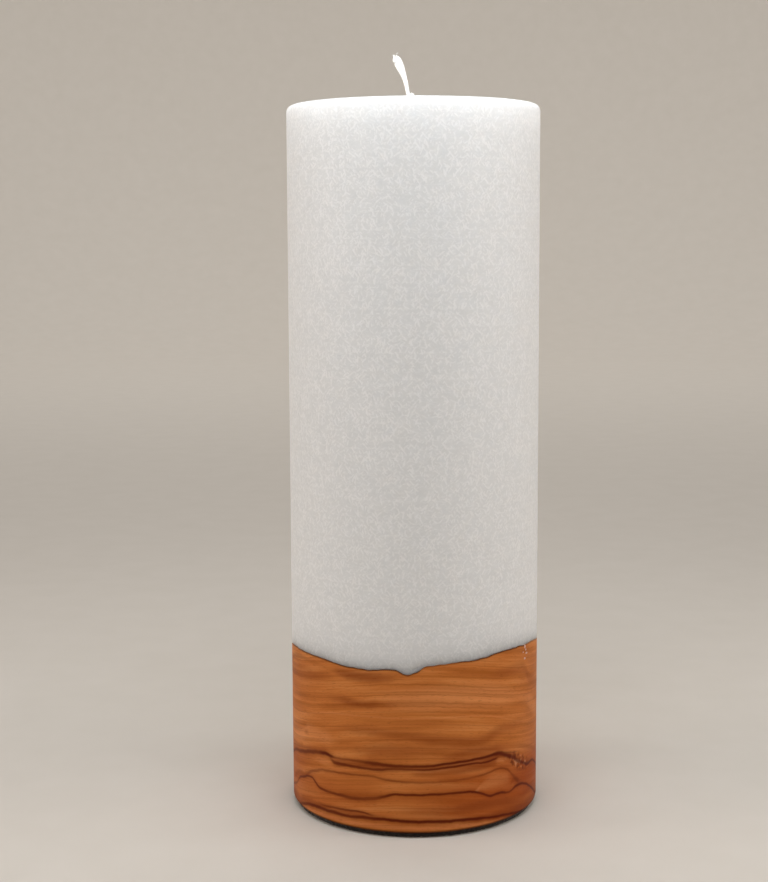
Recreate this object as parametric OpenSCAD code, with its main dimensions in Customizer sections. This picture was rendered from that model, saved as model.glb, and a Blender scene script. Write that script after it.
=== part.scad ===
// Pillar candle for a wedding table: white stearin wax cast in one line with
// a turned olive wood base whose top keeps the tree's natural, uneven edge.
// The origin is on the table, under the middle of the base. +Z is up and the
// candle is seen from -Y.

/* [Candle] */
// Outside diameter of wood and wax
candle_d = 80; // [60:1:110]
// Height of the wax's flat top above the table
candle_h = 224; // [150:1:300]

/* [Wood base] */
// Height of the wood above the table, at the mean of its natural edge
base_h = 53; // [40:1:80]
// Broken lower edge of the wood
foot_arris = 0.8; // [0.3:0.1:2]
// How much of the natural edge's rise and fall is kept
edge_relief = 1; // [0.3:0.1:1.5]
// Depth of the flat seat for the wick holder, below the mean edge
seat_depth = 6; // [4:0.5:12]
// Gap between the wick holder's disc and the wall of its seat
seat_gap = 1.5; // [0.5:0.5:4]

/* [Wax] */
// Rounding of the wax's top rim
rim_r = 2; // [1:0.5:6]
// How much smaller the wax's radius is at the top, for release from the mould
draft = 0.2; // [0:0.1:1]

/* [Wick] */
// Width of the flat braid
wick_w = 2.3; // [1.6:0.1:4]
// Thickness of the flat braid
wick_t = 1.4; // [0.8:0.1:1.5]
// Turn of the braid from the wax to the tip, in degrees
wick_turn = 70; // [0:5:90]

/* [Wick holder] */
// Diameter of the pressed disc
holder_d = 20; // [15:1:30]
// Thickness of its tinplate
holder_sheet = 0.3; // [0.2:0.1:0.6]
// Height of the crimped neck above the disc
neck_h = 7; // [4:1:12]
// How far the glue dot stays inside the disc's edge
dot_inset = 2.5; // [0.5:0.5:5]
// Thickness of the glue dot
dot_t = 0.8; // [0.4:0.1:1.5]

/* [Anchor screws] */
// Number of screws that key the wax to the wood
screw_count = 3; // [2:1:6]
// Radius of the circle that the screws stand on
screw_circle = 25; // [16:1:26]
// Height of the screw heads above the mean edge of the wood
screw_proud = 9; // [6:1:15]
// Length of a screw, with its head
screw_len = 30; // [20:1:40]
// Diameter over the thread
screw_d = 4; // [3:0.5:5]
// Diameter of the countersunk head
head_d = 8; // [6:0.5:10]

/* [Foot pad] */
// How far the felt disc is set in from the outside of the wood
pad_inset = 1; // [1:0.5:10]
// Thickness of the felt disc
pad_t = 1.5; // [1:0.1:4]

/* [Hidden] */

$fn = 96;
radius = candle_d / 2;
pad_d = candle_d - 2 * pad_inset;
// Levels of the pieces stacked in the seat, from the seat's flat up
seat_z = base_h - seat_depth;
holder_z = seat_z + dot_t;
seat_d = holder_d + 2 * seat_gap;
dot_d = holder_d - 2 * dot_inset;

// Natural edge of the wood: [angle from the front, rise above the mean edge].
// The angle grows anticlockwise seen from above, so +90 is at +X.
natural_edge = [
    [-180, -0.4], [-160, 0.2], [-140, -0.3], [-120, -1.3], [-100, -1.6], [-90, -1],
    [-82, -0.4], [-76, 0.3], [-70, 0.6], [-50, 0.8], [-44, 0.6], [-40, 0.2],
    [-34, -0.2], [-20, -0.4], [-15, -0.1], [-8, 0.1], [-6, -0.6], [-5, -1.1],
    [-3, -1.4], [0, -0.7], [1.5, -0.4], [2.5, 0.1], [3.5, 0.8], [5, 1.3],
    [20, 1.9], [34, 2.4], [40, 3.1], [44, 3.3], [56, 3.2], [60, 2.8], [68, 2.7],
    [74, 2.3], [80, 1.5], [90, 0.7], [105, -0.2], [120, -0.7], [140, -1.1],
    [160, -0.8], [180, -0.4]
];
edge_step = 2.5;
// The cutting surface runs this far past the wood, so that it cuts clean through
edge_over = 4;
edge_reach = (radius + edge_over) / radius;

// Thread of a wood screw, as rings
thread_depth = 0.6;
thread_pitch = 1.8;
thread_root = 1.4;
plain_shank = 11;
point_len = 4;
head_cone = 2.4;
head_rim = 0.5;
drive_w = 0.9;
drive_l = 4;
drive_depth = 1.6;
screw_core = screw_d / 2 - thread_depth;
thread_turns = floor((screw_len - plain_shank - point_len) / thread_pitch);
first_screw = 90;

// Middle line of the free end of the wick, above the flat top: [x, y, z]
wick_route = [
    [0, 0, -0.6], [0, 0, 0], [-0.7, 0.1, 1.8], [-1.4, 0.2, 3.7], [-1.8, 0.3, 5.6],
    [-2.2, 0.3, 7.4], [-2.8, 0.2, 9.4], [-3.6, 0.1, 11.4], [-4.5, 0, 13.4],
    [-5, -0.1, 15], [-5.5, -0.2, 16.5]
];
wick_sides = 12;
// The braid is pulled in a little where it leaves the wax
wick_neck = 0.9;

function edge_rise(angle) = edge_relief * lookup(angle, natural_edge);
function polar(r, angle, z) = [r * sin(angle), -r * cos(angle), z];

// Everything that is wood or below it: a fan of planes from the middle of
// the wood's top to its natural edge, closed below the table
module wood_zone() {
    n = 360 / edge_step;
    angles = [for (i = [0:n - 1]) i * edge_step - 180];
    floor_z = -1;
    top = [for (a = angles) polar(radius + edge_over, a, base_h + edge_rise(a) * edge_reach)];
    bottom = [for (a = angles) polar(radius + edge_over, a, floor_z)];
    middle_top = 2 * n;
    middle_bottom = 2 * n + 1;
    polyhedron(
        points = concat(top, bottom, [[0, 0, base_h], [0, 0, floor_z]]),
        faces = [
            for (i = [0:n - 1]) let (j = (i + 1) % n) each [
                [middle_top, j, i],
                [i, j, n + j],
                [i, n + j, n + i],
                [middle_bottom, n + i, n + j]
            ]
        ]
    );
}

module holder_seat() {
    translate([0, 0, seat_z]) cylinder(d = seat_d, h = seat_depth + 1);
}

// Flat braid seen from above: its thin side faces the front
module braid_section(grow = 0) {
    flat = wick_w - wick_t;
    square([wick_t + 2 * grow, flat], center = true);
    for (side = [-1, 1]) translate([0, side * flat / 2]) circle(d = wick_t + 2 * grow);
}

// The stretch of the wick that the wax holds, from the glue dot to the flat top
module wick_in_wax() {
    translate([0, 0, holder_z]) linear_extrude(candle_h - holder_z) braid_section();
}

function unit(v) = v / norm(v);

// The free end of the wick, swept along its route while the flat braid turns
module wick_tip() {
    last = len(wick_route) - 1;
    rings = [
        for (i = [0:last])
            let (
                along = unit(wick_route[min(i + 1, last)] - wick_route[max(i - 1, 0)]),
                flat = i < 2 ? [0, 0, 1] : along,
                u = unit(cross([0, 1, 0], flat)),
                v = cross(flat, u),
                turn = wick_turn * max(0, i - 1) / (last - 1),
                width = i < 2 ? wick_neck : 1,
                a = width * (u * cos(turn) + v * sin(turn)),
                b = width * (v * cos(turn) - u * sin(turn))
            )
            for (k = [0:wick_sides - 1])
                let (t = 360 * k / wick_sides)
                wick_route[i] + a * wick_t / 2 * cos(t) + b * wick_w / 2 * sin(t)
    ];
    translate([0, 0, candle_h]) polyhedron(
        points = rings,
        faces = concat(
            [[for (k = [0:wick_sides - 1]) k]],
            [[for (k = [1:wick_sides]) (last + 1) * wick_sides - k]],
            [
                for (i = [0:last - 1], k = [0:wick_sides - 1])
                    let (m = (k + 1) % wick_sides, low = i * wick_sides, high = low + wick_sides)
                    each [[low + k, high + m, low + m], [low + k, high + k, high + m]]
            ]
        )
    );
}

// Countersunk wood screw with its point at the origin and its head up
module wood_screw() {
    head_z = screw_len - head_cone - head_rim;
    thread = [
        for (i = [0:thread_turns - 1]) let (z = point_len + i * thread_pitch) each [
            [screw_core, z],
            [screw_d / 2, z + thread_pitch / 2],
            [screw_core, z + thread_root]
        ]
    ];
    difference() {
        rotate_extrude($fn = 48) polygon(concat(
            [[0, 0]],
            thread,
            [
                [screw_core, head_z],
                [head_d / 2, screw_len - head_rim],
                [head_d / 2, screw_len],
                [0, screw_len]
            ]
        ));
        for (turn = [0, 90]) rotate(turn)
            translate([-drive_l / 2, -drive_w / 2, screw_len - drive_depth])
                cube([drive_l, drive_w, drive_depth + 1]);
    }
}

module place_screws() {
    for (i = [0:screw_count - 1]) rotate(first_screw + i * 360 / screw_count)
        translate([screw_circle, 0, base_h + screw_proud - screw_len]) children();
}

// Turned block, natural on top, with the holder's seat and the screws' holes
module wood_base() {
    color("#a5643a") difference() {
        intersection() {
            rotate_extrude() polygon([
                [0, pad_t],
                [radius - foot_arris, pad_t],
                [radius, pad_t + foot_arris],
                [radius, base_h + radius],
                [0, base_h + radius]
            ]);
            wood_zone();
        }
        holder_seat();
        place_screws() wood_screw();
    }
}

// Cast pillar: it follows the wood's top, fills the seat and grips the screws
module wax_body() {
    top_r = radius - draft;
    color("#e8e9e7") difference() {
        union() {
            difference() {
                rotate_extrude() {
                    polygon([
                        [0, seat_z],
                        [radius, seat_z],
                        [radius, base_h],
                        [top_r, candle_h - rim_r],
                        [top_r - rim_r, candle_h - rim_r],
                        [top_r - rim_r, candle_h],
                        [0, candle_h]
                    ]);
                    intersection() {
                        translate([top_r - rim_r, candle_h - rim_r]) circle(r = rim_r);
                        translate([top_r - rim_r, candle_h - rim_r]) square(rim_r);
                    }
                }
                wood_zone();
            }
            holder_seat();
        }
        place_screws() wood_screw();
        holder_solid();
        dot_solid();
        wick_in_wax();
    }
}

module wick() {
    color("#f4f3ee") {
        wick_in_wax();
        wick_tip();
    }
}

module holder_solid() {
    translate([0, 0, holder_z]) {
        cylinder(d = holder_d, h = holder_sheet);
        linear_extrude(holder_sheet + neck_h) braid_section(holder_sheet);
    }
}

module dot_solid() {
    translate([0, 0, seat_z]) cylinder(d = dot_d, h = dot_t);
}

// Pressed tinplate disc with a neck crimped flat on the wick
module wick_holder() {
    color("#c9cdd0") difference() {
        holder_solid();
        wick_in_wax();
    }
}

module glue_dot() {
    color("#efeadb") dot_solid();
}

module anchor_screws() {
    color("#b9bdc1") place_screws() wood_screw();
}

module foot_pad() {
    color("#2b2622") cylinder(d = pad_d, h = pad_t);
}

wood_base();
wax_body();
wick();
wick_holder();
glue_dot();
anchor_screws();
foot_pad();
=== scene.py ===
"""A wedding pillar candle: white stearin wax cast in one line with a turned olive wood base.

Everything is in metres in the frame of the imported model: the origin is on the table under
the middle of the base, +Z is up, and the candle is seen from -Y with +X to the right.
Angles round the candle start at the front and grow towards +X.
"""

import math
import random

import bpy
import numpy as np
from mathutils import Matrix, Vector, noise


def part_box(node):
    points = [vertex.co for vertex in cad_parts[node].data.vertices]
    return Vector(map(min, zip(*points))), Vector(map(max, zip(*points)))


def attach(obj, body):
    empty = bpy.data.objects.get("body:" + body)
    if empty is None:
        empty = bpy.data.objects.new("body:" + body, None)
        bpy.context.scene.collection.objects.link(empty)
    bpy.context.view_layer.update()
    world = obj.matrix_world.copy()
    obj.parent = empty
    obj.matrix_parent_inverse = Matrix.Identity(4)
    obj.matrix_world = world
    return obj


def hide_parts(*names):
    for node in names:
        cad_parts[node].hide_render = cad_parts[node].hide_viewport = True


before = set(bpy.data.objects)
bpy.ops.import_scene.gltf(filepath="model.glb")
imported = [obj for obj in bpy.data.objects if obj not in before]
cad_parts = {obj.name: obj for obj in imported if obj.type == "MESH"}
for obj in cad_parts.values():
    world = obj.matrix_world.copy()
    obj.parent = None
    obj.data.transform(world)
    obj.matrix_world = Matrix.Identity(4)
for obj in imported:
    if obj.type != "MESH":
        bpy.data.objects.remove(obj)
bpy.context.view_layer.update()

MM = 0.001
TURN = 2 * math.pi

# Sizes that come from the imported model
WOOD_LOW, WOOD_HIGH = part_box("wood_base")
_, WAX_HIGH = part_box("wax_body")
PAD_LOW, PAD_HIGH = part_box("foot_pad")
WICK_LOW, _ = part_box("wick")
RADIUS = WOOD_HIGH.x
WAX_TOP = WAX_HIGH.z

# Heights and roundings of the turned and cast shapes
BASE_MEAN = 53 * MM
FOOT_ARRIS = 0.8 * MM
RIM_ROUND = 2 * MM
DRAFT = 0.2 * MM
WICK_WIDTH = 2.3 * MM
WICK_THICK = 1.4 * MM
WICK_TURN = math.radians(70)

# Natural edge of the wood: angle in degrees, rise above the mean edge in mm
NATURAL_EDGE = [
    (-180, -0.4), (-160, 0.2), (-140, -0.3), (-120, -1.3), (-100, -1.6), (-90, -1),
    (-82, -0.4), (-76, 0.3), (-70, 0.6), (-50, 0.8), (-44, 0.6), (-40, 0.2),
    (-34, -0.2), (-20, -0.4), (-15, -0.1), (-8, 0.1), (-6, -0.6), (-5, -1.1),
    (-3, -1.4), (0, -0.7), (1.5, -0.4), (2.5, 0.1), (3.5, 0.8), (5, 1.3),
    (20, 1.9), (34, 2.4), (40, 3.1), (44, 3.3), (56, 3.2), (60, 2.8), (68, 2.7),
    (74, 2.3), (80, 1.5), (90, 0.7), (105, -0.2), (120, -0.7), (140, -1.1),
    (160, -0.8), (180, -0.4),
]

# Middle line of the wick's free end above the flat top of the wax, in mm
WICK_ROUTE = [
    (0, 0, 0), (-0.8, 0.1, 1.8), (-1.5, 0.2, 3.7), (-1.9, 0.3, 5.6), (-2.3, 0.3, 7.4),
    (-2.9, 0.2, 9.4), (-3.7, 0.1, 11.4), (-4.6, 0, 13.4), (-5.1, -0.1, 15), (-5.5, -0.2, 16.2),
]


# ---------------------------------------------------------------- meshes


def new_mesh(name, points, faces, smooth=True):
    mesh = bpy.data.meshes.new(name)
    mesh.from_pydata([tuple(p) for p in points], [], faces)
    mesh.polygons.foreach_set("use_smooth", [smooth] * len(mesh.polygons))
    mesh.update()
    piece = bpy.data.objects.new(name, mesh)
    bpy.context.scene.collection.objects.link(piece)
    return piece


def grid_faces(rings, steps, close_rings):
    """Quads between rings of points: each ring has steps points and closes on itself."""
    faces = []
    for j in range(rings if close_rings else rings - 1):
        low, high = j * steps, (j + 1) % rings * steps
        for i in range(steps):
            k = (i + 1) % steps
            faces.append((low + i, low + k, high + k, high + i))
    return faces


def turned(name, radii, heights, angles, closed_loop=False):
    """A turned body. radii and heights have one row a ring and one column an angle.
    Without closed_loop the first and last rings are closed with a point on the axis."""
    rings, steps = radii.shape
    x, y = radii * np.sin(angles), -radii * np.cos(angles)
    points = [tuple(p) for p in np.stack([x, y, heights], -1).reshape(-1, 3)]
    faces = grid_faces(rings, steps, closed_loop)
    if not closed_loop:
        for ring, first in ((0, True), (rings - 1, False)):
            centre = len(points)
            points.append((0, 0, float(heights[ring].mean())))
            for i in range(steps):
                a, b = ring * steps + i, ring * steps + (i + 1) % steps
                faces.append((centre, b, a) if first else (centre, a, b))
    return new_mesh(name, points, faces)


def add_number(piece, name, values):
    """A named number at each point, which the materials read."""
    attribute = piece.data.attributes.new(name, "FLOAT", "POINT")
    attribute.data.foreach_set("value", np.asarray(values, np.float32))


def ripple(angles, heights, size, strength, seed):
    """Smooth uneven relief over a turned surface, in metres; size is its wavelength."""
    flat = np.stack([RADIUS * np.sin(angles), -RADIUS * np.cos(angles), heights], -1)
    values = [noise.noise(Vector(p / size) + Vector((seed, 0, 0))) for p in flat.reshape(-1, 3)]
    return strength * np.array(values).reshape(np.shape(angles))


ANGLES = np.radians(np.arange(-180, 180, 0.5))


def natural_edge(angles):
    """Height of the wood's natural edge: the chosen points with the small tears of bark."""
    known = np.array(NATURAL_EDGE)
    rise = np.interp(np.degrees(angles), known[:, 0], known[:, 1]) * MM
    soft = sum(np.roll(rise, k) for k in (-1, 0, 1)) / 3
    tears = ripple(angles, np.zeros_like(angles), 2.2 * MM, 0.16 * MM, 3)
    waves = ripple(angles, np.zeros_like(angles), 7 * MM, 0.22 * MM, 8)
    return BASE_MEAN + soft + tears + waves


EDGE = natural_edge(ANGLES)


def wood_top(radius):
    """Height of the wood's hidden top at a radius, from its middle to the natural edge."""
    return BASE_MEAN + (EDGE - BASE_MEAN) * radius / RADIUS


def arc(centre_r, centre_z, radius, start, end, count):
    """Points of a rounded edge as (r, z); 0 degrees points outwards and 90 up."""
    turns = [math.radians(start + (end - start) * i / (count - 1)) for i in range(count)]
    return [(centre_r + radius * math.cos(t), centre_z + radius * math.sin(t)) for t in turns]


def rows_to_arrays(rows):
    radii = np.array([np.broadcast_to(r, ANGLES.shape) for r, _ in rows], float)
    heights = np.array([np.broadcast_to(z, ANGLES.shape) for _, z in rows], float)
    return radii, heights


def make_wood_base():
    """Turned olive wood block: flat foot, broken lower edge, true side, natural top edge."""
    lip = 0.3 * MM
    foot_z = WOOD_LOW.z
    rows = [(RADIUS * s, foot_z) for s in (0.3, 0.6, 0.9)]
    rows += arc(RADIUS - FOOT_ARRIS, foot_z + FOOT_ARRIS, FOOT_ARRIS, -90, 0, 6)
    side_low = foot_z + FOOT_ARRIS
    for s in np.linspace(0, 1, 30)[1:]:
        share = 1 - (1 - s) ** 2.2
        rows.append((RADIUS, side_low + (EDGE - lip - side_low) * share))
    for t in (30, 60, 90):
        turn = math.radians(t)
        rows.append((RADIUS - lip + lip * math.cos(turn), EDGE - lip + lip * math.sin(turn)))
    for s in (0.97, 0.9, 0.75, 0.5, 0.25):
        rows.append((RADIUS * s, wood_top(RADIUS * s)))
    radii, heights = rows_to_arrays(rows)
    piece = turned("olive_wood_base", radii, heights, ANGLES)
    below = np.append((EDGE - heights).ravel() / MM, [50, 0])
    add_number(piece, "below_edge_mm", below)
    return piece


def braid_radius(angles, grow):
    """Distance from the wick's middle to the outline of its flat section."""
    flat = (WICK_WIDTH - WICK_THICK) / 2
    half = WICK_THICK / 2 + grow
    x, y = np.abs(np.sin(angles)), np.abs(np.cos(angles))
    side = half / np.maximum(x, 1e-6)
    on_side = side * y <= flat
    round_end = flat * y + np.sqrt(np.maximum(half ** 2 - (flat * x) ** 2, 0))
    return np.where(on_side, side, round_end)


def make_wax_pillar():
    """Cast wax: it starts at the wood's natural edge, has a slight draft, a rounded rim,
    a flat top that sank a little as it set, and a collar where it crept up the wick."""
    lip = 0.12 * MM
    seam = 0.02 * MM
    hole = braid_radius(ANGLES, 0.02 * MM)
    top_r = RADIUS - DRAFT
    rows = [(hole, wood_top(0) + seam)]
    rows += [(RADIUS * s, wood_top(RADIUS * s) + seam) for s in (0.3, 0.6, 0.9, 0.98)]
    for t in (-90, -60, -30, 0):
        turn = math.radians(t)
        rows.append((RADIUS - lip + lip * math.cos(turn), EDGE + seam + lip + lip * math.sin(turn)))
    side_high = WAX_TOP - RIM_ROUND
    for s in np.linspace(0, 1, 56)[1:-1]:
        share = s * s
        height = EDGE + seam + lip + (side_high - EDGE - seam - lip) * share
        rows.append((RADIUS - DRAFT * share, height))
    rows += arc(top_r - RIM_ROUND, side_high, RIM_ROUND, 0, 90, 9)
    rim = len(rows)
    flat_r = top_r - RIM_ROUND
    for s in np.linspace(1, 0, 26)[1:]:
        radius = hole + (flat_r - hole) * s ** 1.3
        sink = -0.35 * MM * (1 - (radius / flat_r) ** 2)
        collar = 0.9 * MM * np.exp(-((radius - hole) / (0.8 * MM)))
        rows.append((radius, WAX_TOP + sink + collar))
    for z in np.linspace(WAX_TOP, BASE_MEAN, 8)[1:-1]:
        rows.append((hole, z))
    radii, heights = rows_to_arrays(rows)
    # Where the wax fills a notch in the bark it shrank into a small hollow as it set
    above = (heights - EDGE) / MM
    hollow = np.exp(-(((np.degrees(ANGLES) - 0.5) / 2.5) ** 2) - ((above - 1.3) / 0.55) ** 2)
    side = slice(9, rim - 9)
    radii[side] -= 0.4 * MM * hollow[side]
    pits = ripple(np.broadcast_to(ANGLES, above[side].shape), heights[side], 1.1 * MM, 0.12 * MM, 40)
    radii[side] -= np.abs(pits) * np.exp(-above[side] / 1.2)
    top = slice(rim, rim + 24)
    spread = np.broadcast_to(ANGLES, radii[top].shape)
    flat = np.stack([radii[top] * np.sin(spread), -radii[top] * np.cos(spread)], -1)
    uneven = [noise.noise(Vector((p[0] / 0.011, p[1] / 0.011, 5))) for p in flat.reshape(-1, 2)]
    heights[top] += 0.12 * MM * (np.array(uneven).reshape(spread.shape) - 0.6)
    piece = turned("wax_pillar", radii, heights, ANGLES, closed_loop=True)
    add_number(piece, "above_edge_mm", (heights - EDGE).ravel() / MM)
    return piece


def make_wax_drips():
    """Small runs and specks of wax left on the wood, right of the front, below its edge."""
    specks = [
        (60.5, 55.3, 0.5, 0.8), (62.2, 52.9, 0.8, 0.3), (60.4, 51.4, 0.6, 0.35), (61.4, 54.1, 0.3, 0.4),
        (58.8, 53.6, 0.2, 0.25),
    ]
    rings, steps = 5, 16
    points, faces = [], []
    for angle, height, half_width, half_height in specks:
        start = len(points)
        for j in range(rings):
            out = (j / (rings - 1)) ** 0.7
            for i in range(steps):
                turn = TURN * i / steps
                place = math.radians(angle) + half_width * MM * out * math.cos(turn) / RADIUS
                radius = RADIUS - 0.05 * MM + 0.22 * MM * math.sqrt(1 - out * out)
                z = (height + half_height * out * math.sin(turn)) * MM
                points.append((radius * math.sin(place), -radius * math.cos(place), z))
        faces += [tuple(start + k for k in f) for f in grid_faces(rings, steps, False)]
        faces.append(tuple(start + (rings - 1) * steps + k for k in reversed(range(steps))))
    return new_mesh("wax_specks", points, faces)


def smooth_route(points, step):
    """A smooth line through the points, in steps of about the given length."""
    known = [Vector(p) for p in points]
    ends = [known[0] * 2 - known[1]] + known + [known[-1] * 2 - known[-2]]
    line = []
    for a, b, c, d in zip(ends, ends[1:], ends[2:], ends[3:]):
        count = max(1, round((c - b).length / step))
        for i in range(count):
            t = i / count
            line.append(
                0.5 * (2 * b + (c - a) * t + (2 * a - 5 * b + 4 * c - d) * t ** 2
                       + (3 * b - a - 3 * c + d) * t ** 3)
            )
    line.append(known[-1])
    return line


def tube(points, faces, path, radius_at, sides):
    """Adds a closed tube along a path; radius_at(i, turn) is its radius in metres."""
    start = len(points)
    across = Vector((1, 0, 0))
    last = len(path) - 1
    for i, centre in enumerate(path):
        along = (path[min(i + 1, last)] - path[max(i - 1, 0)]).normalized()
        across = (across - along * across.dot(along)).normalized()
        other = along.cross(across)
        for k in range(sides):
            turn = TURN * k / sides
            out = across * math.cos(turn) + other * math.sin(turn)
            points.append(centre + out * radius_at(i, turn))
    for i in range(last):
        low, high = start + i * sides, start + (i + 1) * sides
        for k in range(sides):
            m = (k + 1) % sides
            faces.append((low + k, low + m, high + m, high + k))
    faces.append(tuple(start + sides - 1 - k for k in range(sides)))
    faces.append(tuple(start + last * sides + k for k in range(sides)))


def make_wick():
    """Flat cotton braid: nine yarns plaited along the route, frayed where it was cut."""
    rng = random.Random(11)
    yarns = 9
    yarn_r = 0.27 * MM
    pitch = 7.5 * MM
    step = 0.3 * MM
    exit_point = Vector((0, 0, WAX_TOP))
    free = [exit_point + Vector(p) * MM for p in WICK_ROUTE]
    held = [Vector((0, 0, WICK_LOW.z))]
    held += [Vector((0, 0, WICK_LOW.z + (WAX_TOP - WICK_LOW.z) * s)) for s in (0.25, 0.5, 0.75)]
    line = smooth_route(held + free, step)
    free_from = next(i for i, p in enumerate(line) if p.z >= WAX_TOP)
    points, faces = [], []
    frames = []
    run = 0.0
    for i, p in enumerate(line):
        along = (line[min(i + 1, len(line) - 1)] - line[max(i - 1, 0)]).normalized()
        share = max(0, i - free_from) / (len(line) - 1 - free_from)
        side = Vector((1, 0, 0))
        side = (side - along * side.dot(along)).normalized()
        deep = along.cross(side)
        turned_by = min(1, max(0, (share - 0.38) / 0.45))
        turn = WICK_TURN * turned_by * turned_by * (3 - 2 * turned_by)
        thin = side * math.cos(turn) + deep * math.sin(turn)
        wide = deep * math.cos(turn) - side * math.sin(turn)
        if i:
            run += (p - line[i - 1]).length
        frames.append((p, thin, wide, run, share))
    for n in range(yarns):
        phase = TURN * n / yarns
        slant = 0.9 * MM * (1 - math.cos(TURN * frames[-1][3] / pitch + phase))
        end_cut = slant + rng.uniform(0, 0.5) * MM
        path = []
        for p, thin, wide, at, share in frames:
            if run - at < end_cut:
                break
            t = TURN * at / pitch + phase
            spread = 0.72 + 0.12 * min(1, share / 0.5) + 0.4 * math.exp(-(((share - 0.77) / 0.11) ** 2))
            a = (WICK_WIDTH / 2 - yarn_r) * math.cos(t) * spread
            b = (WICK_THICK / 2 - yarn_r) * math.sin(2 * t) * min(1, spread)
            path.append(p + wide * a + thin * b)
        lay = rng.uniform(0, TURN)

        def yarn(i, turn, lay=lay, count=len(path)):
            fade = min(1, (count - i) / 4)
            return yarn_r * (0.75 + 0.25 * fade) * (1 + 0.1 * math.cos(2 * turn - 0.5 * i + lay))

        tube(points, faces, path, yarn, 8)
    tip = free[-1]
    low_tuft = frames[-9][0]
    for n in range(6):
        start = low_tuft + Vector((-0.5 - 0.08 * n, rng.uniform(-0.5, 0), -0.6)) * MM
        mid = start + Vector((-0.55, rng.uniform(-0.3, 0), 0.6)) * MM
        end = mid + Vector((rng.uniform(-0.1, 0.25), rng.uniform(-0.2, 0.1), rng.uniform(0.5, 0.9))) * MM
        tube(points, faces, [start, mid, end], lambda i, turn: (0.16, 0.14, 0.05)[i] * MM, 6)
    for n in range(16):
        at = frames[rng.randrange(free_from + 8, len(frames))] if n < 8 else frames[-2]
        start = at[0] + at[2] * rng.uniform(-0.9, 0.9) * MM + at[1] * rng.uniform(-0.4, 0.4) * MM
        lift = rng.uniform(0.1, 0.3)
        out = at[2] * rng.uniform(-0.8, 0.8) + at[1] * rng.uniform(-0.8, 0.8)
        mid = start + (out * 0.3 + Vector((0, 0, lift))) * MM
        end = mid + (out * 0.3 + Vector((0, 0, rng.uniform(-0.1, 0.2)))) * MM
        tube(points, faces, [start, mid, end], lambda i, turn: 0.035 * MM, 5)
    top = tip.z + 0.3 * MM
    points = [Vector((p.x, p.y, min(p.z, top))) for p in points]
    return new_mesh("cotton_wick", points, faces)


def make_foot_pad():
    """Pressed felt disc: its cut edge is soft and slightly uneven."""
    radius = PAD_HIGH.x
    edge = 0.35 * MM
    thick = PAD_HIGH.z - PAD_LOW.z
    rows = [(radius * s, PAD_LOW.z) for s in (0.3, 0.6, 0.85, 0.95)]
    rows += arc(radius - edge, PAD_LOW.z + edge, edge, -90, 0, 4)
    rows += [(radius, PAD_LOW.z + thick * s) for s in (0.4, 0.6)]
    rows += arc(radius - edge, PAD_HIGH.z - edge, edge, 0, 90, 4)
    rows += [(radius * s, PAD_HIGH.z) for s in (0.95, 0.85, 0.6, 0.3)]
    radii, heights = rows_to_arrays(rows)
    fuzz = ripple(np.broadcast_to(ANGLES, radii.shape), heights, 0.8 * MM, 0.3 * MM, 21)
    radii[4:14] += fuzz[4:14] - 0.2 * MM
    return turned("felt_foot_pad", radii, heights, ANGLES)


# ---------------------------------------------------------------- materials


def linear(colour):
    """sRGB hex to linear RGBA."""
    parts = [int(colour[i:i + 2], 16) / 255 for i in (1, 3, 5)]
    return [c / 12.92 if c <= 0.04045 else ((c + 0.055) / 1.055) ** 2.4 for c in parts] + [1]


def add(tree, kind, inputs=None, **settings):
    """Adds one shader node with its settings, its inputs' values and the links into it."""
    node = tree.nodes.new("ShaderNode" + kind)
    for name, value in settings.items():
        setattr(node, name, value)
    for name, value in (inputs or {}).items():
        if isinstance(value, bpy.types.NodeSocket):
            tree.links.new(value, node.inputs[name])
        else:
            node.inputs[name].default_value = value
    return node


def new_material(name, **shader):
    """A material with one Principled shader and its settings; returns it, its tree, the shader."""
    material = bpy.data.materials.new(name)
    material.use_nodes = True
    tree = material.node_tree
    tree.nodes.clear()
    surface = add(tree, "BsdfPrincipled", {k.replace("_", " "): v for k, v in shader.items()})
    output = add(tree, "OutputMaterial")
    tree.links.new(surface.outputs[0], output.inputs["Surface"])
    return material, tree, surface


def wear(piece, material):
    piece.data.materials.clear()
    piece.data.materials.append(material)


def place_mm(tree):
    """Place on the object in millimetres."""
    place = add(tree, "TexCoord").outputs["Object"]
    return add(tree, "VectorMath", {0: place, "Scale": 1 / MM}, operation="SCALE").outputs[0]


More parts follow.
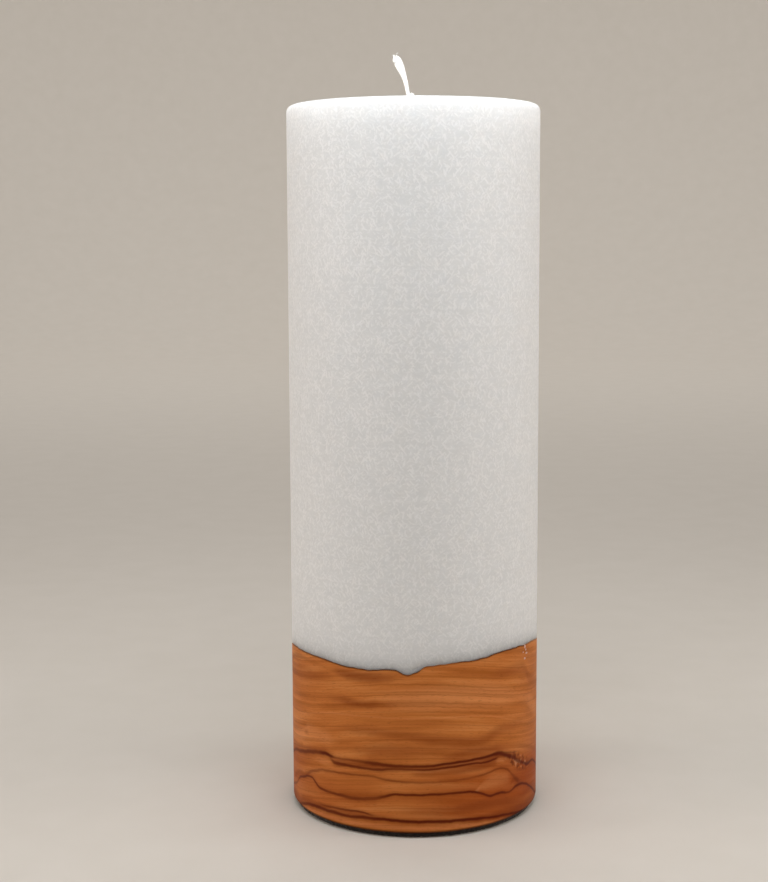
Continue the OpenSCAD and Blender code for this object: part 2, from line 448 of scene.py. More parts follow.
def olive_wood():
    """Olive wood, turned, sanded and oiled: honey brown with dark, crisp growth lines that
    split and join, soft smoky clouds, short pores, and the low gloss of an oil finish.
    Painted shade darkens its foot and part of its lower right."""
    material, tree, surface = new_material(
        "oiled olive wood", Roughness=0.55, IOR=1.5, Specular_IOR_Level=0.08
    )
    place = place_mm(tree)
    axes = add(tree, "SeparateXYZ", {0: place})
    x, y, z = axes.outputs

    # Behind the candle the layers drift, so that its back isn't the front again
    behind = add(tree, "MapRange", {0: y, 1: -10, 2: 40}, interpolation_type="SMOOTHSTEP")
    drift = add(tree, "TexNoise", {"Vector": place, "Scale": 0.022, "Detail": 1})
    drift = add(tree, "Math", {0: drift.outputs[0], 1: 0.5}, operation="SUBTRACT")
    drift = add(tree, "Math", {0: drift.outputs[0], 1: behind.outputs[0]}, operation="MULTIPLY")
    wobble = add(tree, "TexNoise", {"Vector": place, "Scale": 0.3, "Detail": 3})
    wobble = add(tree, "Math", {0: wobble.outputs[0], 1: 0.5}, operation="SUBTRACT")
    layer = add(tree, "Math", {0: drift.outputs[0], 1: 26, 2: z}, operation="MULTIPLY_ADD")
    layer = add(tree, "Math", {0: wobble.outputs[0], 1: 0.6, 2: layer.outputs[0]}, operation="MULTIPLY_ADD")
    height = layer.outputs[0]
    across = add(tree, "MapRange", {0: x, 1: -40, 2: 40})
    across = add(tree, "CombineXYZ", {0: across.outputs[0], 1: across.outputs[0], 2: across.outputs[0]})

    # Height and half width in mm at the top of a curve's first two channels
    full_height, full_width = 60, 6

    def line_of(points, softness, reach=1):
        """A layer seen on the side: (angle, height mm, half width mm, strength) points."""
        curve = add(tree, "RGBCurve", {"Color": across.outputs[0]})
        for channel, (column, full) in enumerate(((1, full_height), (2, full_width), (3, 1))):
            spots = curve.mapping.curves[channel].points
            place_at = [(0.5 + 0.5 * math.sin(math.radians(p[0])), p[column] / full) for p in points]
            spots[0].location, spots[-1].location = place_at[0], place_at[-1]
            for spot in place_at[1:-1]:
                spots.new(*spot)
            for spot in spots:
                spot.handle_type = "AUTO_CLAMPED"
        curve.mapping.update()
        parts = add(tree, "SeparateColor", {0: curve.outputs[0]}).outputs
        middle = add(tree, "Math", {0: parts[0], 1: full_height}, operation="MULTIPLY")
        width = add(tree, "Math", {0: parts[1], 1: full_width}, operation="MULTIPLY")
        off = add(tree, "Math", {0: height, 1: middle.outputs[0]}, operation="SUBTRACT")
        off = add(tree, "Math", {0: off.outputs[0]}, operation="ABSOLUTE")
        core = add(tree, "Math", {0: width.outputs[0], 1: softness}, operation="MULTIPLY")
        wide = add(tree, "Math", {0: width.outputs[0], 1: reach}, operation="MULTIPLY")
        band = add(
            tree, "MapRange",
            {0: off.outputs[0], 1: core.outputs[0], 2: wide.outputs[0], 3: 1, 4: 0},
            interpolation_type="SMOOTHSTEP",
        )
        return add(tree, "Math", {0: band.outputs[0], 1: parts[2]}, operation="MULTIPLY").outputs[0]

    def together(shares):
        """Covers one share with the next, as layers of stain do."""
        left = add(tree, "Math", {0: 1, 1: shares[0]}, operation="SUBTRACT").outputs[0]
        for share in shares[1:]:
            rest = add(tree, "Math", {0: 1, 1: share}, operation="SUBTRACT").outputs[0]
            left = add(tree, "Math", {0: left, 1: rest}, operation="MULTIPLY").outputs[0]
        return add(tree, "Math", {0: 1, 1: left}, operation="SUBTRACT").outputs[0]

    # Growth lines, then smoky bands (partly painted shade), heartwood, bark, burl and pale
    # streaks: each curve is listed for the half that is seen, and the back repeats it with the drift above
    lines = [
        [(-90, 15, 0.7, 0.6), (-80, 17, 0.7, 0.7), (-72, 19.2, 0.7, 0.7), (-62, 20.6, 0.8, 0.8),
         (-55, 22, 0.9, 0.8), (-50, 22.7, 0.9, 0.8), (-44, 23.3, 0.8, 1), (-40, 23, 0.6, 0.9),
         (-36, 23, 0.4, 0.5), (-25, 23.3, 0.5, 0.6), (-18, 23.3, 0.7, 0.8), (-10, 22.9, 0.6, 0.8),
         (5, 22.9, 0.5, 0.9), (15, 23.4, 0.5, 1), (25, 23.6, 0.5, 1), (35, 23.9, 0.6, 1),
         (40, 24, 0.8, 1), (45, 22.8, 0.9, 0.9), (50, 21.2, 0.9, 0.9), (55, 19, 0.9, 0.8),
         (60, 17.4, 0.6, 0.9), (65, 16.2, 0.6, 0.9), (69, 16.3, 0.5, 0.9), (75, 14.8, 0.5, 0.9),
         (80, 13, 0.5, 0.8), (90, 11, 0.5, 0.7)],
        [(-90, 15, 0.4, 0), (-43, 22.5, 0.5, 0), (-38, 21.3, 0.7, 0.8), (-30, 21.3, 0.5, 0.8),
         (-15, 21.5, 0.5, 0.8), (-8, 22, 0.4, 0.6), (5, 21.8, 0.4, 0.8), (15, 22.1, 0.4, 0.9),
         (25, 22.4, 0.4, 0.9), (35, 22.1, 0.4, 0.9), (39, 22.5, 0.4, 0.8), (43, 23.2, 0.4, 0),
         (90, 11, 0.4, 0)],
        [(-90, 9, 0.4, 0), (-64, 13.5, 0.5, 0), (-58, 14.5, 0.6, 0.4), (-53, 16, 0.6, 0.5),
         (-46, 17.6, 0.5, 0.5), (-35, 18.3, 0.4, 0.55), (-20, 19, 0.4, 0.45), (-10, 18.2, 0.4, 0.5),
         (10, 17.8, 0.4, 0.35), (25, 18, 0.4, 0.35), (35, 18.5, 0.4, 0.55), (40, 19, 0.4, 0.55),
         (46, 18, 0.5, 0.55), (50, 15.5, 0.7, 0.4), (54, 13, 1, 0.4), (57, 11.8, 0.5, 0),
         (90, 3, 0.4, 0)],
        [(-90, 4, 0.5, 0.6), (-80, 6, 0.5, 0.6), (-72, 8.2, 0.5, 0.5), (-67, 11, 0.5, 0.7),
         (-62, 12.3, 0.5, 0.8), (-55, 13.7, 0.4, 0.8), (-52, 12.8, 0.5, 0.8), (-48, 11.4, 0.5, 0.8),
         (-40, 11.2, 0.5, 0.7), (-30, 11.2, 0.7, 0.7), (-20, 11.9, 0.8, 0.6), (-14, 12.8, 0.6, 0.8),
         (-8, 13.9, 0.45, 0.9), (5, 13.9, 0.45, 0.9), (20, 13.8, 0.45, 0.9), (27, 13.4, 0.5, 1),
         (31, 12.4, 0.5, 0.9), (36, 11, 0.5, 0.9), (43, 10.9, 0.5, 0.9), (48, 10.3, 0.4, 0.7),
         (54, 11.3, 0.6, 0.9), (60, 10.6, 0.5, 0.9), (67, 8.3, 0.5, 0.9), (73, 5.7, 0.6, 0.9),
         (80, 3, 0.6, 0.8), (90, 1, 0.6, 0.7)],
        [(-90, 0, 0.4, 0), (-70, 1.5, 0.6, 0.6), (-60, 3.8, 0.7, 0.8), (-50, 4.9, 0.7, 0.9),
         (-40, 5, 0.7, 0.9), (-30, 5.1, 0.6, 0.9), (-22, 5.6, 0.7, 0.9), (-15, 5.7, 0.6, 1),
         (0, 5.4, 0.6, 1), (15, 5.1, 0.6, 1), (25, 4.8, 0.6, 1), (35, 4.1, 0.5, 0.95),
         (45, 3.3, 0.5, 0.9), (55, 2.3, 0.5, 0.9), (66, 1, 0.5, 0.8), (90, 0, 0.4, 0)],
        [(-90, 3, 0.3, 0), (-56, 5.4, 0.4, 0), (-45, 6.2, 0.4, 0.5), (-33, 6.8, 0.4, 0.7),
         (-25, 7.2, 0.4, 0.8), (-20, 6.8, 0.4, 0.5), (-12, 6.2, 0.3, 0), (90, 3, 0.3, 0)],
        [(-90, 18, 0.3, 0), (-75, 20.3, 0.3, 0.3), (-62, 22, 0.3, 0.3), (-50, 23.6, 0.3, 0),
         (38, 24.4, 0.3, 0), (45, 23.6, 0.3, 0.5), (51, 22.6, 0.3, 0.5), (57, 21.9, 0.3, 0),
         (90, 13, 0.3, 0)],
    ]
    # Smoky clouds of the wood; the last two lists are painted shade, not figure
    smoke_and_shade_bands = [
        [(-90, 20, 1, 0), (-46, 22.4, 1, 0), (-36, 22.2, 1.8, 0.45), (-25, 22.3, 2, 0.6),
         (-12, 22.2, 2, 0.7), (-5, 22.2, 1.6, 0.65), (8, 22.2, 1.4, 0.55), (30, 23, 1, 0.6),
         (38, 23, 1.4, 0.9), (44, 22.8, 1.2, 0.8), (50, 21.5, 1.5, 0.7), (56, 19.5, 2, 0.6),
         (65, 16.5, 1.5, 0.4), (90, 11, 1, 0)],
        [(-90, 15, 1.4, 0), (-6, 20.4, 1, 0), (2, 20.4, 1.2, 0.5), (12, 20.6, 1.4, 0.6),
         (28, 20.9, 1.7, 0.8), (38, 21, 1.4, 0.7), (44, 21.5, 1, 0), (90, 12, 1, 0)],
        [(-90, 9, 2.2, 0), (-12, 9, 2.2, 0.1), (0, 8.6, 2.4, 0.4), (15, 8.3, 2.4, 0.55),
         (28, 8.5, 2.8, 0.8), (42, 8, 2.6, 0.8), (55, 6.5, 2.4, 0.5), (66, 7.5, 2, 0.4),
         (73, 7.3, 2.2, 0.5), (80, 5, 2, 0.2), (90, 4, 2.2, 0)],
        [(-90, 24, 2.5, 0), (-62, 27, 1.5, 0), (-59, 27.6, 1.4, 0.4), (-56, 28, 1.5, 0),
         (-38, 32, 2, 0.1), (-20, 33.3, 2.4, 0.55), (-5, 32.6, 2.4, 0.5), (10, 30.8, 3, 0.55),
         (30, 29, 3, 0.6), (44, 31.5, 3, 0.5), (56, 31.5, 2.4, 0.3), (68, 28, 2, 0), (90, 22, 2.5, 0)],
        [(-90, 28, 1, 0), (-42, 28, 1.5, 0), (-26, 27, 3, 0.3), (-12, 27.6, 4, 0.55), (3, 27.6, 3.4, 0.4),
         (20, 27, 2, 0.15), (35, 27, 2, 0), (90, 27, 2, 0)],
        [(-90, 44, 5, 0.5), (-72, 46, 5, 0.4), (-60, 47, 4.5, 0.35), (-45, 48, 4, 0.15), (-30, 49, 3, 0),
         (90, 45, 3, 0)],
        [(-90, 38, 2, 0), (-50, 41.5, 2, 0.1), (-36, 42, 2.2, 0.45), (-26, 41.5, 2, 0.75),
         (-14, 42, 2.2, 0.25), (0, 43, 2, 0), (30, 49, 2, 0), (45, 49.5, 2.4, 0.45), (58, 49, 2.8, 0.45),
         (66, 44, 2.6, 0.4), (76, 41.5, 2.6, 0.4), (90, 40, 3, 0.2)],
        [(-90, 46, 1.5, 0.4), (-72, 50.5, 1.6, 0.6), (-60, 51.6, 1.2, 0.4), (-44, 51, 1, 0.2),
         (-36, 50.6, 2, 0.6), (-24, 50.2, 2.8, 0.9), (-12, 50.4, 2.2, 0.6), (2, 51.5, 1, 0),
         (90, 50, 1, 0)],
        [(-90, 6, 1.4, 0), (-77, 9, 1.4, 0.2), (-68, 12.5, 1.6, 0.7), (-60, 13.3, 1.3, 0.7),
         (-54, 14.5, 1, 0), (47, 12, 0.8, 0), (51, 13.5, 1.4, 0.6), (55, 12.6, 1.2, 0.6), (60, 11, 1, 0),
         (90, 3, 1, 0)],
        # Painted shade along the foot, darkest at both sides, where the base meets the floor
        [(-90, 3, 4, 0.9), (-70, 3, 3, 0.8), (-62, 5, 1.5, 0.6), (-52, 5.8, 1.2, 0.4),
         (-30, 6.4, 1.4, 0.5), (-16, 6.2, 1, 0.1), (10, 4.2, 1, 0.1), (24, 4.2, 1.6, 0.4),
         (40, 4, 2.4, 0.8), (60, 3, 3.4, 0.9), (90, 3, 4, 0.9)],
        # Painted shade over the right side at about 20 to 26 mm, where less light falls
        [(-90, 20, 1, 0), (5, 25.2, 1, 0), (15, 25.6, 1.6, 0.5), (26, 26, 2.2, 0.8), (38, 26, 1.8, 0.7),
         (50, 25, 1.6, 0.3), (64, 22, 1.4, 0.5), (75, 19, 1.4, 0.4), (90, 15, 1, 0)],
    ]
    heart = [(-90, 12, 6, 0.8), (-72, 12, 6, 0.6), (-55, 8, 6, 0.4), (-40, 8, 6, 0.35), (-25, 9, 5, 0.3),
             (-8, 10, 5, 0.2), (5, 11, 6, 0.4), (15, 12, 6, 0.6), (30, 11, 6, 0.8), (50, 11, 6, 0.85),
             (65, 12, 6, 1), (78, 13, 6, 1), (90, 13, 6, 0.8)]
    bark_at = [(-90, 53, 6, 0.7), (-70, 53, 6, 0.8), (-50, 53, 6, 0.9), (-30, 53, 6, 1), (-9, 53, 6, 1),
               (-4, 53, 6, 0.85), (1, 53, 6, 0.8), (6, 53, 6, 0.5), (14, 53, 6, 0.6), (24, 55, 6, 0.9),
               (45, 55, 6, 1), (58, 55, 6, 0.9), (66, 55, 6, 0.6), (90, 55, 6, 0.5)]
    burl = [(-90, 10, 1, 0), (43, 22, 1, 0), (50, 20.4, 3, 1), (57, 18.4, 4, 1), (63, 17, 3, 0.8),
            (69, 16, 1.5, 0), (90, 10, 1, 0)]
    pale = [
        [(-90, 16, 0.4, 0), (-6, 21.1, 0.4, 0), (4, 21.2, 0.45, 0.6), (13, 21.3, 0.4, 0.5),
         (18, 21.3, 0.4, 0), (38, 21.5, 0.5, 0), (41, 21.8, 1, 0.7), (44, 21.2, 0.8, 0.5),
         (47, 20.5, 0.5, 0), (90, 12, 0.4, 0)],
        [(-90, 17, 0.3, 0), (10, 22.7, 0.3, 0), (16, 22.8, 0.35, 0.5), (30, 23, 0.4, 0.6),
         (37, 23, 0.3, 0), (90, 12, 0.3, 0)],
        [(-90, 46, 3, 0), (-22, 45, 3, 0.1), (-5, 44, 5, 0.6), (15, 44.5, 6, 0.8), (30, 44, 6, 0.8),
         (45, 42, 5, 0.7), (60, 39, 3, 0.5), (70, 35, 4, 0.7), (80, 31, 4, 0.4), (90, 29, 3, 0.2)],
        [(-90, 23, 3, 0.2), (-75, 24.5, 3, 0.6), (-64, 26, 3, 0.9), (-55, 28.5, 3.4, 0.7),
         (-44, 28.5, 3.4, 0.6), (-34, 29, 2.4, 0), (90, 28, 2, 0)],
        [(-90, 31, 0.5, 0.2), (-40, 37, 0.5, 0.35), (0, 38, 0.5, 0.3), (30, 37.5, 0.5, 0.3),
         (90, 28, 0.5, 0.2)],
        [(-90, 0, 1, 0.3), (-60, 2.4, 1, 0.6), (-25, 3.4, 1.3, 0.6), (0, 3.5, 1.3, 0.6),
         (25, 3, 1.1, 0.6), (45, 2, 0.8, 0.4), (90, 0, 1, 0)],
        [(-90, 12, 1, 0), (-56, 20, 1, 0.1), (-45, 20.5, 1.6, 0.4), (-38, 20, 1, 0.1), (26, 13.4, 0.4, 0),
         (28.5, 13.6, 0.8, 0.8), (31, 14.5, 1.5, 0.4), (38, 15.5, 2.8, 0.5), (46, 15, 2.4, 0.4),
         (51, 14, 1.2, 0), (90, 8, 1, 0)],
    ]
    dark = together([line_of(points, 0.2, 1.35) for points in lines])
    halo = together([line_of(points, 0.5, 3.4) for points in lines])
    smoky_and_shaded = together([line_of(points, 0.1) for points in smoke_and_shade_bands])
    heartwood = line_of(heart, 0.3, 3)
    burl_share = line_of(burl, 0.3)
    light = together([line_of(points, 0.2) for points in pale])

    # Grain follows the layers: about 1.4 mm growth, 0.35 mm fibre and short fine pores
    sag = add(tree, "Math", {0: x, 1: x}, operation="MULTIPLY")
    sag = add(tree, "Math", {0: sag.outputs[0], 1: 1 / 190, 2: height}, operation="MULTIPLY_ADD")
    grain = add(tree, "CombineXYZ", {0: x, 1: y, 2: sag.outputs[0]}).outputs[0]

    def grain_noise(along, through, detail):
        scaled = add(
            tree, "VectorMath", {0: grain, 1: (1 / along, 1 / along, 1 / through)}, operation="MULTIPLY"
        )
        return add(tree, "TexNoise", {"Vector": scaled.outputs[0], "Scale": 1, "Detail": detail}).outputs[0]

    growth = add(tree, "MapRange", {0: grain_noise(55, 1.4, 3), 1: 0.3, 2: 0.7}).outputs[0]
    fibre = add(tree, "MapRange", {0: grain_noise(16, 0.35, 2), 1: 0.25, 2: 0.75}).outputs[0]
    cloud = add(tree, "MapRange", {0: grain_noise(30, 5, 2), 1: 0.3, 2: 0.7}).outputs[0]
    fine = add(tree, "MapRange", {0: grain_noise(90, 0.8, 1), 1: 0.6, 2: 0.68}).outputs[0]
    pores = add(tree, "MapRange", {0: grain_noise(1.6, 0.22, 0), 1: 0.66, 2: 0.74}).outputs[0]

    eyes = add(tree, "TexNoise", {"Vector": place, "Scale": 0.55, "Detail": 1}).outputs[0]
    pale_eyes = add(tree, "MapRange", {0: eyes, 1: 0.42, 2: 0.34}).outputs[0]
    pale_eyes = add(tree, "Math", {0: pale_eyes, 1: burl_share}, operation="MULTIPLY").outputs[0]
    eyes = add(tree, "MapRange", {0: eyes, 1: 0.5, 2: 0.62}).outputs[0]
    eyes = add(tree, "Math", {0: eyes, 1: burl_share}, operation="MULTIPLY").outputs[0]
    tone = add(tree, "Math", {0: growth, 1: 0.38}, operation="MULTIPLY")
    tone = add(tree, "Math", {0: fibre, 1: 0.17, 2: tone.outputs[0]}, operation="MULTIPLY_ADD")
    tone = add(tree, "Math", {0: cloud, 1: 0.45, 2: tone.outputs[0]}, operation="MULTIPLY_ADD")
    body = add(tree, "ValToRGB", {0: tone.outputs[0]})
    stops = body.color_ramp.elements
    stops[0].position, stops[0].color = 0.2, linear("#b16328")
    stops[1].position, stops[1].color = 0.85, linear("#de904f")
    stops.new(0.52).color = linear("#cb7839")
    colour = body.outputs[0]
    edge = add(tree, "Attribute", attribute_name="below_edge_mm").outputs["Fac"]
    bark = add(tree, "MapRange", {0: edge, 1: 0.15, 2: 0.6, 3: 1, 4: 0}, interpolation_type="SMOOTHSTEP")
    bark = add(tree, "Math", {0: bark.outputs[0], 1: line_of(bark_at, 0.9)}, operation="MULTIPLY")
    # Painted shade: below about 2.6 mm the side and its broken lower edge are darkened almost to black, for
    # the shade under the base
    foot = add(tree, "MapRange", {0: z, 1: 1.8, 2: 2.6, 3: 1, 4: 0}, interpolation_type="SMOOTHSTEP")
    # Stains of the wood with painted shade among them: the darkened foot is painted shade, and the smoky
    # bands are partly painted shade
    stains_and_shade = [
        (heartwood, 0.7, "#9c3a00"), (light, 0.5, "#efa064"), (fine, 0.25, "#8a3c12"),
        (smoky_and_shaded, 0.75, "#83380f"), (halo, 0.4, "#83340a"), (pale_eyes, 0.5, "#dca070"),
        (eyes, 0.75, "#5a2008"), (dark, 0.95, "#581600"), (pores, 0.2, "#6a3212"),
        (bark.outputs[0], 0.85, "#441c0a"), (foot.outputs[0], 0.8, "#1c0c04"),
    ]
    for share, strength, tint in stains_and_shade:
        share = add(tree, "Math", {0: share, 1: strength}, operation="MULTIPLY").outputs[0]
        mixed = add(tree, "Mix", {0: share, 6: colour, 7: linear(tint)}, data_type="RGBA")
        colour = mixed.outputs[2]
    tree.links.new(colour, surface.inputs["Base Color"])
    relief = add(tree, "Math", {0: fibre, 1: 0.5, 2: pores}, operation="MULTIPLY_ADD").outputs[0]
    bump = add(tree, "Bump", {"Strength": 0.15, "Distance": 0.05 * MM, "Height": relief}, invert=True)
    tree.links.new(bump.outputs[0], surface.inputs["Normal"])
    gloss = add(tree, "MapRange", {0: fibre, 3: 0.45, 4: 0.58})
    tree.links.new(gloss.outputs[0], surface.inputs["Roughness"])
    return material


def stearin_wax(depth, film=0):
    """Stearin wax, cast and left to cool slowly: translucent white, matt, and frosted all
    over with fine needle crystals that lie in every direction. depth is how far light
    travels in it, in mm, and film how much of the wood shows through a thin speck."""
    material, tree, surface = new_material(
        "cast stearin wax", Roughness=0.5, IOR=1.44, Subsurface_Weight=1.0, Subsurface_Scale=depth * MM,
        Subsurface_Radius=(1, 0.97, 0.94),
    )
    place = place_mm(tree)
    normal = add(tree, "NewGeometry").outputs["Normal"]

    def needles(spacing, length, width, seed):
        """One needle a cell, laid flat on the surface in a direction of its own; sizes in mm."""
        moved = add(tree, "VectorMath", {0: place, 1: (seed * 7.3, seed * 3.1, seed * 5.7)}, operation="ADD")
        cell = add(tree, "TexVoronoi", {"Vector": moved.outputs[0], "Scale": 1 / spacing})
        middle = cell.outputs["Position"]
        off = add(tree, "VectorMath", {0: moved.outputs[0], 1: middle}, operation="SUBTRACT")
        way = add(tree, "VectorMath", {0: cell.outputs["Color"], 1: (0.5, 0.5, 0.5)}, operation="SUBTRACT")
        flat = []
        for vector in (off, way):
            lift = add(tree, "VectorMath", {0: vector.outputs[0], 1: normal}, operation="DOT_PRODUCT")
            part = add(tree, "VectorMath", {0: normal, "Scale": lift.outputs["Value"]}, operation="SCALE")
            left = add(tree, "VectorMath", {0: vector.outputs[0], 1: part.outputs[0]}, operation="SUBTRACT")
            flat.append(left.outputs[0])
        way = add(tree, "VectorMath", {0: flat[1]}, operation="NORMALIZE").outputs[0]
        along = add(tree, "VectorMath", {0: flat[0], 1: way}, operation="DOT_PRODUCT").outputs["Value"]
        beside = add(tree, "VectorMath", {0: flat[0], 1: way}, operation="CROSS_PRODUCT")
        beside = add(tree, "VectorMath", {0: beside.outputs[0]}, operation="LENGTH").outputs["Value"]
        along = add(tree, "Math", {0: along}, operation="ABSOLUTE").outputs[0]
        ends = add(
            tree, "MapRange", {0: along, 1: length * 0.25, 2: length * 0.5, 3: 1, 4: 0},
            interpolation_type="SMOOTHSTEP",
        )
        sides = add(
            tree, "MapRange", {0: beside, 1: width * 0.15, 2: width * 0.6, 3: 1, 4: 0},
            interpolation_type="SMOOTHSTEP",
        )
        bright = add(tree, "SeparateColor", {0: cell.outputs["Color"]}).outputs[2]
        share = add(tree, "Math", {0: ends.outputs[0], 1: sides.outputs[0]}, operation="MULTIPLY")
        bright = add(tree, "Math", {0: bright, 1: 1.5}, operation="POWER").outputs[0]
        return add(tree, "Math", {0: share.outputs[0], 1: bright}, operation="MULTIPLY").outputs[0]

    frost = None
    # Spacing, length and width in mm and a seed: a little coarser than real needles, to show
    layers = [
        (2.6, 2.8, 0.6, 1), (2.3, 2.4, 0.55, 2), (1.9, 2, 0.5, 3), (1.6, 1.6, 0.5, 4), (1.3, 1.3, 0.45, 5),
    ]
    for spacing, length, width, seed in layers:
        layer = needles(spacing, length, width, seed)
        if frost is not None:
            layer = add(tree, "Math", {0: frost, 1: layer}, operation="ADD").outputs[0]
        frost = layer
    frost = add(tree, "Math", {0: frost, 1: 1}, operation="MINIMUM").outputs[0]
    cloud = add(tree, "TexNoise", {"Vector": place, "Scale": 0.3, "Detail": 4, "Roughness": 0.65}).outputs[0]
    cloud = add(tree, "MapRange", {0: cloud, 1: 0.3, 2: 0.7}).outputs[0]
    tone = add(tree, "Math", {0: frost, 1: 0.65}, operation="MULTIPLY")
    tone = add(tree, "Math", {0: cloud, 1: 0.35, 2: tone.outputs[0]}, operation="MULTIPLY_ADD").outputs[0]
    colour = add(tree, "Mix", {0: tone, 6: linear("#e7e9ea"), 7: linear("#fdfeff")}, data_type="RGBA")
    # Painted shade: within 2.5 mm above the wood the wax is drawn darker and warm brown, for the shade there
    # and the warm light the wood throws onto it
    edge = add(tree, "Attribute", attribute_name="above_edge_mm").outputs["Fac"]
    thin = add(tree, "MapRange", {0: edge, 1: 0, 2: 2.5, 3: 0.1, 4: 0}, interpolation_type="SMOOTHSTEP")
    colour = add(
        tree, "Mix", {0: thin.outputs[0], 6: colour.outputs[2], 7: linear("#c8aa94")}, data_type="RGBA"
    )
    # The flat top is drawn greyer than the side, so that the light overhead doesn't burn it out
    facing = add(tree, "SeparateXYZ", {0: normal}).outputs[2]
    open_face = add(tree, "MapRange", {0: facing, 1: 0.85, 2: 0.97}).outputs[0]
    dull = add(tree, "Math", {0: open_face, 1: 0.7}, operation="MULTIPLY").outputs[0]
    colour = add(tree, "Mix", {0: dull, 6: colour.outputs[2], 7: linear("#aeb1b3")}, data_type="RGBA")
    colour = add(tree, "Mix", {0: film, 6: colour.outputs[2], 7: linear("#c87a48")}, data_type="RGBA")
    tree.links.new(colour.outputs[2], surface.inputs["Base Color"])
    bump = add(tree, "Bump", {"Strength": 0.25, "Distance": 0.08 * MM, "Height": frost})
    tree.links.new(bump.outputs[0], surface.inputs["Normal"])
    return material


def waxed_cotton():
    """Braided cotton dipped in wax: white yarns, half filled, with a soft dull shine."""
    material, tree, surface = new_material(
        "waxed cotton braid", Roughness=0.55, IOR=1.45, Subsurface_Weight=0.3, Subsurface_Scale=0.2 * MM,
        Subsurface_Radius=(1, 0.95, 0.9),
    )
    place = place_mm(tree)
    fibre = add(tree, "VectorMath", {0: place, 1: (5, 5, 1.2)}, operation="MULTIPLY")
    fibre = add(tree, "TexNoise", {"Vector": fibre.outputs[0], "Scale": 1, "Detail": 3}).outputs[0]
    colour = add(tree, "Mix", {0: fibre, 6: linear("#faf9f5"), 7: linear("#ffffff")}, data_type="RGBA")
    tree.links.new(colour.outputs[2], surface.inputs["Base Color"])
    bump = add(tree, "Bump", {"Strength": 0.4, "Distance": 0.05 * MM, "Height": fibre})
    tree.links.new(bump.outputs[0], surface.inputs["Normal"])
    return material


def wool_felt():
    """Pressed wool felt, dark brown and drawn near black as painted shade for the gap under the wood: matt,
    with a tangle of fibres.
    """
    material, tree, surface = new_material(
        "pressed wool felt", Roughness=0.95, Specular_IOR_Level=0.2, Sheen_Weight=0.3, Sheen_Roughness=0.6
    )
    place = place_mm(tree)
    tangle = add(tree, "TexNoise", {"Vector": place, "Scale": 2.5, "Detail": 5, "Distortion": 1.5}).outputs[0]
    # Painted shade: the felt is made nearly black so that the gap under the wood reads as dark as its shade
    colour = add(tree, "Mix", {0: tangle, 6: linear("#120d0a"), 7: linear("#2a211b")}, data_type="RGBA")
    tree.links.new(colour.outputs[2], surface.inputs["Base Color"])
    bump = add(tree, "Bump", {"Strength": 0.8, "Distance": 0.2 * MM, "Height": tangle})
    tree.links.new(bump.outputs[0], surface.inputs["Normal"])
    return material


def plated_metal(name, low, high, roughness, scratch_mm):
    """Pressed or plated steel: metal with fine rub marks that vary its gloss."""
    material, tree, surface = new_material(name, Metallic=1.0)
    place = place_mm(tree)
    rub = (1 / scratch_mm, 4 / scratch_mm, 1 / scratch_mm)
    marks = add(tree, "VectorMath", {0: place, 1: rub}, operation="MULTIPLY")
    marks = add(tree, "TexNoise", {"Vector": marks.outputs[0], "Scale": 1, "Detail": 4}).outputs[0]
    colour = add(tree, "Mix", {0: marks, 6: linear(low), 7: linear(high)}, data_type="RGBA")
    tree.links.new(colour.outputs[2], surface.inputs["Base Color"])
    gloss = add(tree, "MapRange", {0: marks, 3: roughness - 0.08, 4: roughness + 0.08})
    tree.links.new(gloss.outputs[0], surface.inputs["Roughness"])
    return material


def hot_glue():
    """Hot melt glue, pressed flat while soft: milky, half clear, slightly wavy."""
    material, tree, surface = new_material(
        "milky hot melt glue", Roughness=0.35, IOR=1.48, Subsurface_Weight=0.8, Subsurface_Scale=2 * MM
    )
    place = place_mm(tree)
    waves = add(tree, "TexNoise", {"Vector": place, "Scale": 0.6, "Detail": 2}).outputs[0]
    colour = add(tree, "Mix", {0: waves, 6: linear("#e6dfc8"), 7: linear("#f5f0e0")}, data_type="RGBA")
    tree.links.new(colour.outputs[2], surface.inputs["Base Color"])
    bump = add(tree, "Bump", {"Strength": 0.5, "Distance": 0.2 * MM, "Height": waves})
    tree.links.new(bump.outputs[0], surface.inputs["Normal"])
    return material


def pale_paper():
    """Matt pale backing paper under and behind the candle."""
    material, tree, surface = new_material("pale backing paper", Roughness=0.9, Specular_IOR_Level=0.2)
    place = place_mm(tree)
    pulp = add(tree, "TexNoise", {"Vector": place, "Scale": 0.05, "Detail": 4}).outputs[0]
    colour = add(tree, "Mix", {0: pulp, 6: linear("#cfc8be"), 7: linear("#d5cec5")}, data_type="RGBA")
    tree.links.new(colour.outputs[2], surface.inputs["Base Color"])
    return material


# ---------------------------------------------------------------- studio


def make_camera():
    """A little below the candle's top, looking slightly down."""
    data = bpy.data.cameras.new("camera")
    data.lens = 64.5
    data.sensor_width = 36
    data.clip_start = 0.01
    camera = bpy.data.objects.new("camera", data)
    yaw, pitch, roll = (math.radians(a) for a in (-1.09, 7.31, -0.27))
    look = Vector((math.sin(yaw) * math.cos(pitch), math.cos(yaw) * math.cos(pitch), -math.sin(pitch)))
    turn = look.to_track_quat("-Z", "Y").to_matrix() @ Matrix.Rotation(roll, 3, "Z")
    camera.matrix_world = Matrix.Translation((0, -0.5058, 0.1829)) @ turn.to_4x4()
    bpy.context.scene.collection.objects.link(camera)
    bpy.context.scene.camera = camera


def make_light(name, place, aim, size, power, colour="#ffffff"):
    data = bpy.data.lights.new(name, "AREA")
    data.shape = "RECTANGLE"
    data.size, data.size_y = size
    data.energy = power
    data.color = linear(colour)[:3]
    light = bpy.data.objects.new(name, data)
    way = Vector(aim) - Vector(place)
    light.matrix_world = Matrix.Translation(place) @ way.to_track_quat("-Z", "Y").to_matrix().to_4x4()
    light.visible_camera = False
    bpy.context.scene.collection.objects.link(light)
    return data


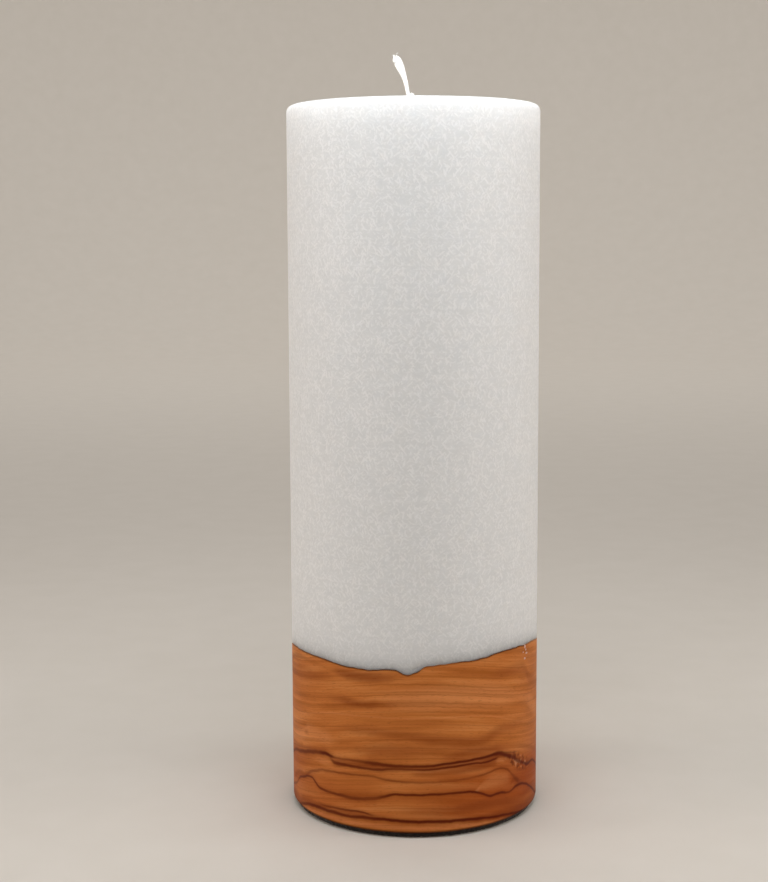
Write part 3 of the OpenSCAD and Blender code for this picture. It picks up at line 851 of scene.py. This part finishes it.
def make_studio():
    """A pale floor that curves up all round, softboxes and strips at both sides, one
    overhead, a light for the backdrop, three for the other walls, and a narrow beam that
    makes the wick white. The side softboxes are warm in place of a coloured backdrop."""
    flat, bend, wall = 1.8, 0.8, 1.0
    rows = [(flat * s, 0) for s in (0.1, 0.4, 0.7)]
    rows += arc(flat, bend, bend, -90, 0, 14)
    rows.append((flat + bend, bend + wall))
    radii, heights = rows_to_arrays(rows)
    skip = 10
    angles, radii, heights = ANGLES[::skip], radii[:, ::skip], heights[:, ::skip]
    steps = len(angles)
    points = np.stack([radii * np.sin(angles), -radii * np.cos(angles), heights], -1)
    points = [tuple(p) for p in points.reshape(-1, 3)] + [(0, 0, 0)]
    faces = grid_faces(len(rows), steps, False)
    faces += [(len(points) - 1, (i + 1) % steps, i) for i in range(steps)]
    floor = new_mesh("studio_floor", points, faces)
    wear(floor, pale_paper())
    middle, rim = (0, 0, 0.12), (0, 0, 0.2)
    make_light("left_softbox", (-0.87, -0.28, 0.45), middle, (0.5, 0.6), 1.64, "#fff0e6")
    make_light("right_softbox", (0.8, -0.5, 0.48), middle, (0.5, 0.6), 1.45, "#fff0e6")
    make_light("top_softbox", (0, -0.15, 0.45), rim, (0.25, 0.15), 0.85, "#f4faff")
    make_light("left_strip", (-0.4, -0.05, 0.45), rim, (0.2, 0.3), 0.45)
    make_light("right_strip", (0.4, -0.05, 0.45), rim, (0.2, 0.3), 0.6)
    make_light("backdrop_light", (0, 1.5, 1.7), (0, 1.9, 0), (3, 1.6), 26)
    for x, y in ((0, -1), (-1, 0), (1, 0)):
        make_light("wall_light", (1.9 * x, 1.9 * y, 1.7), (2.6 * x, 2.6 * y, 0.3), (1.6, 1.6), 4, "#fffaf4")
    beam = make_light("wick_light", (-0.1, -0.16, 0.4), (-0.003, 0, 0.234), (0.02, 0.02), 0.0025, "#fff4e4")
    beam.spread = math.radians(8)
    world = bpy.data.worlds.new("studio")
    world.use_nodes = True
    world.node_tree.nodes["Background"].inputs[0].default_value = linear("#ffffff")
    world.node_tree.nodes["Background"].inputs[1].default_value = 0.06
    bpy.context.scene.world = world
    bpy.context.scene.view_settings.view_transform = "Standard"


# ---------------------------------------------------------------- assembly

make_camera()
make_studio()

for piece, node, material, slot in (
    (make_wood_base(), "wood_base", olive_wood(), "olive_wood"),
    (make_wax_pillar(), "wax_body", stearin_wax(depth=13), "stearin_wax"),
    (make_wax_drips(), "wax_body", stearin_wax(depth=0.3, film=0.55), "stearin_wax"),
    (make_wick(), "wick", waxed_cotton(), "cotton_braid"),
    (make_foot_pad(), "foot_pad", wool_felt(), "wool_felt"),
):
    wear(piece, material)
    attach(piece, "root")
    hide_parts(node)

for node, material in (
    ("wick_holder", plated_metal("pressed tinplate", "#b9bcbe", "#dcdfe0", 0.3, 0.8)),
    ("anchor_screws", plated_metal("zinc plated steel", "#9da3a8", "#c9cdd0", 0.35, 0.5)),
    ("glue_dot", hot_glue()),
):
    wear(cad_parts[node], material)
